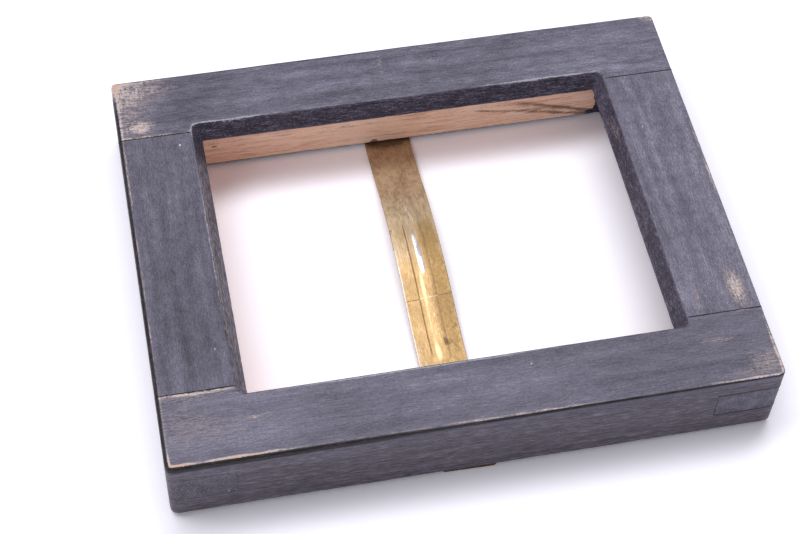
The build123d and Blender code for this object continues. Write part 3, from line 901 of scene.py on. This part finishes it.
# marks on the bar, as place and reach in millimetres (across from its middle line, along y) and strength
barMarks = {
    # rubbed bright where the back board slides, on the near half
    "polish": [((-4.5, -16), (3.4, 19), 1.1), ((0.5, -20), (3.2, 27), 1.1), ((4.2, -2), (3.2, 19), 0.85),
               ((5, -31), (3, 10), 0.8)],
    # and duller again beside the rib's right half
    "dulled": [((4.6, -12), (3.0, 22), 1.1), ((3.0, 8), (3.0, 8), 0.5), ((-3.5, 9), (3.2, 8), 0.45)],
    # a painted highlight, pale cream, along the left half of the rib
    "paintedRibHighlight": [((-0.9, -7), (0.55, 6), 0.9), ((-1.0, -18), (0.5, 7), 0.55), ((-0.6, -27.5), (0.9, 3), 0.9)],
    # brown where damp stood, and painted shade at the far end where the bar runs under the rail
    "brown": [((5.4, -20), (1.6, 1.5), 0.8), ((1.9, -24.5), (1.1, 2.0), 0.7), ((3.6, -27), (1.6, 3.5), 0.5),
              ((-6.2, -22), (0.7, 1.5), 0.9), ((-6.1, 11.2), (0.6, 0.9), 0.8),
              ((-5.8, -12.5), (0.8, 0.8), 0.6), ((-0.5, 9.5), (0.6, 1.0), 0.6),
              # painted shade: the wide first spot on this line darkens the far end under the rail
              ((0, 49.5), (9, 5.0), 1.9), ((-3.5, 30), (2.0, 3.0), 0.2)],
    # a painted highlight, silver-white on the rib's crest, with a greyer painted reflection as a stripe in it
    "paintedGlint": [((-0.1, 0.6), (0.75, 5.2), 1.0), ((-0.4, 7.4), (0.5, 3.0), 0.7)],
    "paintedReflectionStripe": [((0.2, 3.6), (0.6, 3.2), 1.3), ((0.6, -1.4), (0.34, 2.6), 0.9),
               ((-0.2, 9.4), (0.5, 3.4), 0.8)],
    # scratched on the far part of the rib
    "scratched": [((0.3, 16.5), (0.8, 5), 0.45), ((0.3, -14), (0.5, 6), 0.3)],
}


def bowHeight(y):
    # height of the strip's middle: flat tip, then on each side of the crest two equal circle arcs, the outer
    # one hollow and the inner one crowned, that meet half way with a common slope
    away, bend = np.abs(y - bar["crestY"]), bar["halfSpan"] / 2
    foot = np.where(y < bar["crestY"], bar["tipZ"], bar["heelZ"])
    rise = bar["crestZ"] - foot
    radius = (bar["halfSpan"] ** 2 + rise ** 2) / (4 * rise)
    crown = bar["crestZ"] - (radius - np.sqrt(radius ** 2 - np.minimum(away, bend) ** 2))
    toFoot = np.clip(bar["halfSpan"] - away, 0, bend)
    hollow = foot + radius - np.sqrt(radius ** 2 - toFoot ** 2)
    return np.where(away < bend, crown, hollow)


def ribDepth(across, y):
    # distance inside the rib's long rounded outline, negative outside it
    beyond = np.maximum(np.abs(y - bar["ribY"]) - ribStraight, 0)
    return ribHalf - np.hypot(across, beyond)


def barPath():
    # rows along the strip's middle, over the bow and round the pin: how many are in the bow, then each row's
    # place, half width and upward direction
    tip, shoulder, radius = barLow[1], bar["shoulderY"], bar["knuckleRadius"]
    stops = [tip, tip + bar["tipRadius"], bar["ribY"] - ribStraight, bar["ribY"] + ribStraight, shoulder]
    y = gradedStops(stops, bar["rowStep"], bar["rowCrowding"])
    nearTip = np.clip(bar["tipRadius"] - (y - tip), 0, None)
    width = barHalf - bar["tipRadius"] + np.sqrt(bar["tipRadius"] ** 2 - nearTip ** 2)
    tongue = np.linspace(shoulder + bar["shoulderStep"], bar["barrelY"], bar["tongueRows"])
    angle = np.radians(np.linspace(-90, bar["knuckleWrap"] - 90, bar["knuckleRows"]))[1:]
    pathY = np.concatenate([y, tongue, bar["barrelY"] + radius * np.cos(angle)])
    pathZ = np.concatenate([bowHeight(y), bowHeight(tongue), bar["barrelZ"] + radius * np.sin(angle)])
    width = np.concatenate([width, np.full(len(tongue) + len(angle), bar["tongueWidth"] / 2)])
    alongY, alongZ = np.gradient(pathY), np.gradient(pathZ)
    length = np.hypot(alongY, alongZ)
    return len(y), pathY, pathZ, width, -alongZ / length, alongY / length


def barSection():
    # the closed flat section: top, rounded edge, underside, rounded edge
    edge = bar["edgeRound"]
    flat = barHalf - edge
    top = gradedStops([-flat, -ribHalf, ribHalf, flat], bar["columnStep"], bar["columnCrowding"])
    turn = np.radians(np.linspace(90, -90, bar["edgeRows"] + 2)[1:-1])
    side = flat + edge * np.cos(turn)
    rise = (bar["thickness"] / 2 - edge) * np.sign(np.sin(turn)).round() + edge * np.sin(turn)
    level = np.full(len(top), bar["thickness"] / 2)
    across = np.concatenate([top, side, top[::-1], -side[::-1]])
    return len(top), across, np.concatenate([level, rise, -level, rise[::-1]])


def barFaces(rows, columns, count):
    # squares between neighbouring rows; each end is closed by faces from the top row to the underside row
    # and by one over each rounded edge
    index = np.arange(rows * columns).reshape(rows, columns)
    ahead = np.roll(index, -1, axis=1)
    sides = np.stack([index[:-1], ahead[:-1], ahead[1:], index[1:]], axis=-1).reshape(-1, 4)
    edge = bar["edgeRows"]
    upper, under = np.arange(count), count + edge + np.arange(count)[::-1]
    cap = np.stack([upper[:-1], under[:-1], under[1:], upper[1:]], axis=-1)
    corner = np.arange(count - 1, count + edge + 1)
    mirrored = np.append(np.arange(columns - edge - 1, columns), 0)
    last = index[-1, 0]
    faces = np.concatenate([sides, cap, last + cap[:, ::-1]]).tolist()
    for start, flip in ((0, 1), (last, -1)):
        faces.append((start + corner[::-1])[::flip].tolist())
        faces.append((start + mirrored[::-1])[::flip].tolist())
    return faces


def barMasks(points, depth, crown, onTop):
    # strengths of the bar's marks, and distances across its creases and its crack
    flat = points * np.array([1, 1, 0]) - np.array([barX, 0, 0])
    masks = {key: spotField(flat, [((*place, 0), (*reach, 1), strength) for place, reach, strength in spots])
             for key, spots in barMarks.items()}
    for key in ("paintedRibHighlight", "paintedGlint", "paintedReflectionStripe", "scratched"):
        masks[key] *= onTop
    across, y, _ = flat.T
    masks["rib"] = crown
    masks["outline"] = depth
    left = smoothStep(*bar["leftCrease"], y)
    right = bar["rightShare"] * smoothStep(*bar["rightCrease"], y)
    masks["crease"] = np.where(across < 0, left, right) * smoothStep(*bar["nearCrease"], y)
    masks["crack"] = y - bar["crackY"] - bar["crackLean"] * across
    masks["across"] = np.where(y < bar["edgeY"], across, 0)
    return masks


def springBar(material):
    # the section is carried along the path, and the rib lifts it into a low crown where the bow runs
    bowRows, pathY, pathZ, width, upY, upZ = barPath()
    count, across, upwards = barSection()
    outside = -9
    depth = ribDepth(across[None, :], pathY[:, None])
    depth = np.where(np.arange(len(pathY))[:, None] < bowRows, depth, outside)
    crown = 1 - (1 - np.clip(depth / ribHalf, 0, 1)) ** 2
    lift = upwards[None, :] + bar["ribHeight"] * crown
    sheetX = barX + across[None, :] * (width / barHalf)[:, None]
    sheetY = pathY[:, None] + upY[:, None] * lift
    sheetZ = pathZ[:, None] + upZ[:, None] * lift
    points = np.stack([sheetX, sheetY, sheetZ], axis=-1).reshape(-1, 3)
    faces = barFaces(len(pathY), len(across), count)
    onTop = np.tile(upwards > 0, len(pathY))
    masks = barMasks(points, depth.reshape(-1), crown.reshape(-1), onTop)
    return meshPiece("brass_spring_bar", points, faces, "bar", "spring_bar", material, masks)


brass = {
    # noise: length along the strip, width across it (both in millimetres), detail and roughness
    "sizes": {"patches": (7.0, 3.6, 4, 0.6), "mottle": (1.5, 1.0, 3, 0.6), "lines": (7.0, 0.25, 2, 0.55),
              "specks": (0.6, 0.5, 3, 0.65)},
    "mixes": {"tone": (0.5, {"patches": 0.5, "mottle": 0.4, "lines": 0.5}),
              "ragged": (0.0, {"patches": 1.6, "mottle": 1.0}),
              "wander": (0.0, {"specks": 0.6, "mottle": 0.5}),
              "roughness": (0.42, {"mottle": 0.3, "specks": 0.3}),
              "height": (0.5, {"lines": 0.5, "specks": 0.3, "mottle": 0.4})},
    # how much of a noise makes each mask's border ragged
    "frays": {"polish": ("ragged", 1.0), "brown": ("ragged", 1.0), "dulled": ("ragged", 0.6),
              "paintedRibHighlight": ("wander", 0.8), "scratched": ("lines", 1.6), "paintedGlint": ("wander", 1.0),
              "paintedReflectionStripe": ("wander", 1.0)},
    # lines: middle, and how far from it they start and are full, and where the crack is on the rib, in
    # millimetres
    "creaseLine": (0, 0.34, 0.08), "crackLine": (0, 0.2, 0.07), "onRib": (-0.2, 0.2), "creaseSpecks": 0.5,
    "ribPolish": 0.06, "metallic": 0.62, "bumpStrength": 0.3, "bumpDepth": 0.03,
}


def tarnishedBrass(name):
    # rolled spring brass, rubbed golden where the back board slides and olive brown where it was sheltered:
    # satin, with fine lines along the strip, a dark crease beside the rib, damp marks and a hairline crack;
    # painted shade darkens its far end under the rail, and painted highlights lie on the rib's crest, along
    # its left half and along the strip's left edge
    material, tree = newMaterial(name)
    strip = objectPlace(tree, Rotation=(0, 0, radians(90)))
    noise = mixLayers(tree, strip, brass["sizes"], brass["mixes"])
    mask = readMasks(tree, (*barMarks, "rib", "outline", "crease", "crack", "across"))
    frayed = frayMasks(tree, mask, noise, brass["frays"])
    dull = layCoats(tree, colour("#937c62"), [
        (noise["tone"], 0.3, 0.55, 1, "#c1aa8c"), (noise["tone"], 0.55, 0.8, 1, "#d6c3a4")])
    bright = layCoats(tree, colour("#8c6f49"), [
        (noise["tone"], 0.3, 0.55, 1, "#ad8e62"), (noise["tone"], 0.55, 0.8, 1, "#c9ac82")])
    crease = nearLine(tree, mask["outline"], 0, brass["creaseLine"], mask["crease"])
    crease = addNode(tree, "Math", {
        0: noise["specks"], 1: brass["creaseSpecks"], 2: crease}, operation="MULTIPLY_ADD")
    crack = nearLine(tree, mask["crack"], noise["wander"], brass["crackLine"])
    beside, within = brass["onRib"]
    crackOnRib = addNode(tree, "MapRange", {0: mask["outline"], 1: beside, 2: within, 3: 0.0, 4: crack})
    surface = layCoats(tree, dull, [
        (frayed["polish"], 0.35, 0.75, 1, bright),
        (frayed["dulled"], 0.3, 0.8, 0.85, "#85693f"),
        # painted highlight along the rib's left half
        (frayed["paintedRibHighlight"], 0.35, 0.8, 0.65, "#ecd6a4"),
        # brown damp marks, and painted shade at the far end
        (frayed["brown"], 0.45, 0.9, 0.82, "#58452f"),
        (noise["specks"], 0.64, 0.74, 0.5, "#6a4f30"),
        (crease, 0.6, 1.0, 0.75, "#5a3d1a"),
        (frayed["scratched"], 1.1, 1.35, 0.7, "#d9d2c6"),
        # painted highlight on the rib's crest, then the greyer painted reflection in it
        (frayed["paintedGlint"], 0.35, 0.6, 1, "#f6f2f0"),
        (frayed["paintedReflectionStripe"], 0.4, 0.9, 0.9, "#7d7a85"),
        (crack, 0, 1, 0.75, "#5b452a"),
        (crackOnRib, 0, 1, 0.55, "#ded2bc"),
        # painted highlight along the strip's left edge
        (mask["across"], -6.05, -6.3, 0.7, "#d9d3cc"),
    ])
    rubbed = addNode(tree, "Math", {0: mask["rib"], 1: brass["ribPolish"]}, operation="MULTIPLY")
    roughness = addNode(tree, "Math", {0: noise["roughness"], 1: rubbed}, operation="SUBTRACT")
    closeFinish(tree, surface, noise["height"], brass, Metallic=brass["metallic"], Roughness=roughness)
    return material


brassBar = springBar(tarnishedBrass("rolled spring brass, part tarnished"))
print("spring bar made:", len(brassBar.data.vertices), "points")

# the fittings on the back, the body that each rides on, and how their filed edges are rounded
fittings = {
    "bodies": {"hinge_leaf": "frame", "hinge_pin": "frame", "hinge_screws": "frame", "button_screw": "frame",
               "turn_button": "button"},
    "weld": 0.002, "flatAngle": 1, "edgeWidth": 0.1, "edgeSegments": 2, "edgeAngle": 30,
    "sizes": {"cloud": (2.2, 1.8, 4, 0.6), "grit": (0.3, 0.3, 3, 0.6), "file": (2.5, 0.2, 2, 0.5)},
    "mixes": {"tone": (0.5, {"cloud": 0.8, "grit": 0.4, "file": 0.3}),
              "height": (0.5, {"grit": 0.5, "file": 0.6})},
    "metallic": 0.75, "roughness": 0.45, "bumpStrength": 0.35, "bumpDepth": 0.03,
}


def easedCopy(name, body, material):
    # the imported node's own shape with its edges taken off, as a filed and handled brass fitting has
    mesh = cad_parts[name].data.copy()
    piece = addObject("brass_" + name, mesh)
    work = bmesh.new()
    work.from_mesh(mesh)
    bmesh.ops.remove_doubles(work, verts=work.verts, dist=fittings["weld"] * mm)
    bmesh.ops.dissolve_limit(
        work, angle_limit=radians(fittings["flatAngle"]), verts=work.verts, edges=work.edges)
    work.to_mesh(mesh)
    work.free()
    edge = piece.modifiers.new("filed edges", "BEVEL")
    edge.width, edge.segments = fittings["edgeWidth"] * mm, fittings["edgeSegments"]
    edge.limit_method, edge.angle_limit = "ANGLE", radians(fittings["edgeAngle"])
    mesh.materials.clear()
    mesh.materials.append(material)
    mesh.shade_smooth()
    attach(piece, body)
    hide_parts(name)


def agedAndShadedBrass(name):
    # filed brass fittings, nearly black-brown, partly with age and partly as painted shade for the turn
    # button's edge that lies in the frame's shadow, and warmer where a finger or the bar rubs, with a soft
    # sheen and fine file marks
    material, tree = newMaterial(name)
    noise = mixLayers(tree, objectPlace(tree), fittings["sizes"], fittings["mixes"])
    # the dark base is patina and painted shade
    surface = layCoats(tree, colour("#2c2520"), [
        (noise["tone"], 0.3, 0.5, 1, "#4e3d29"), (noise["tone"], 0.5, 0.72, 1, "#8c6d40"),
        (noise["grit"], 0.66, 0.76, 0.4, "#b59763")])
    closeFinish(tree, surface, noise["height"], fittings, Metallic=fittings["metallic"],
                Roughness=fittings["roughness"])
    return material


fittingBrass = agedAndShadedBrass("filed brass, dark with age and painted shade")
for name, body in fittings["bodies"].items():
    easedCopy(name, body, fittingBrass)
print("hinge, button and screws made")
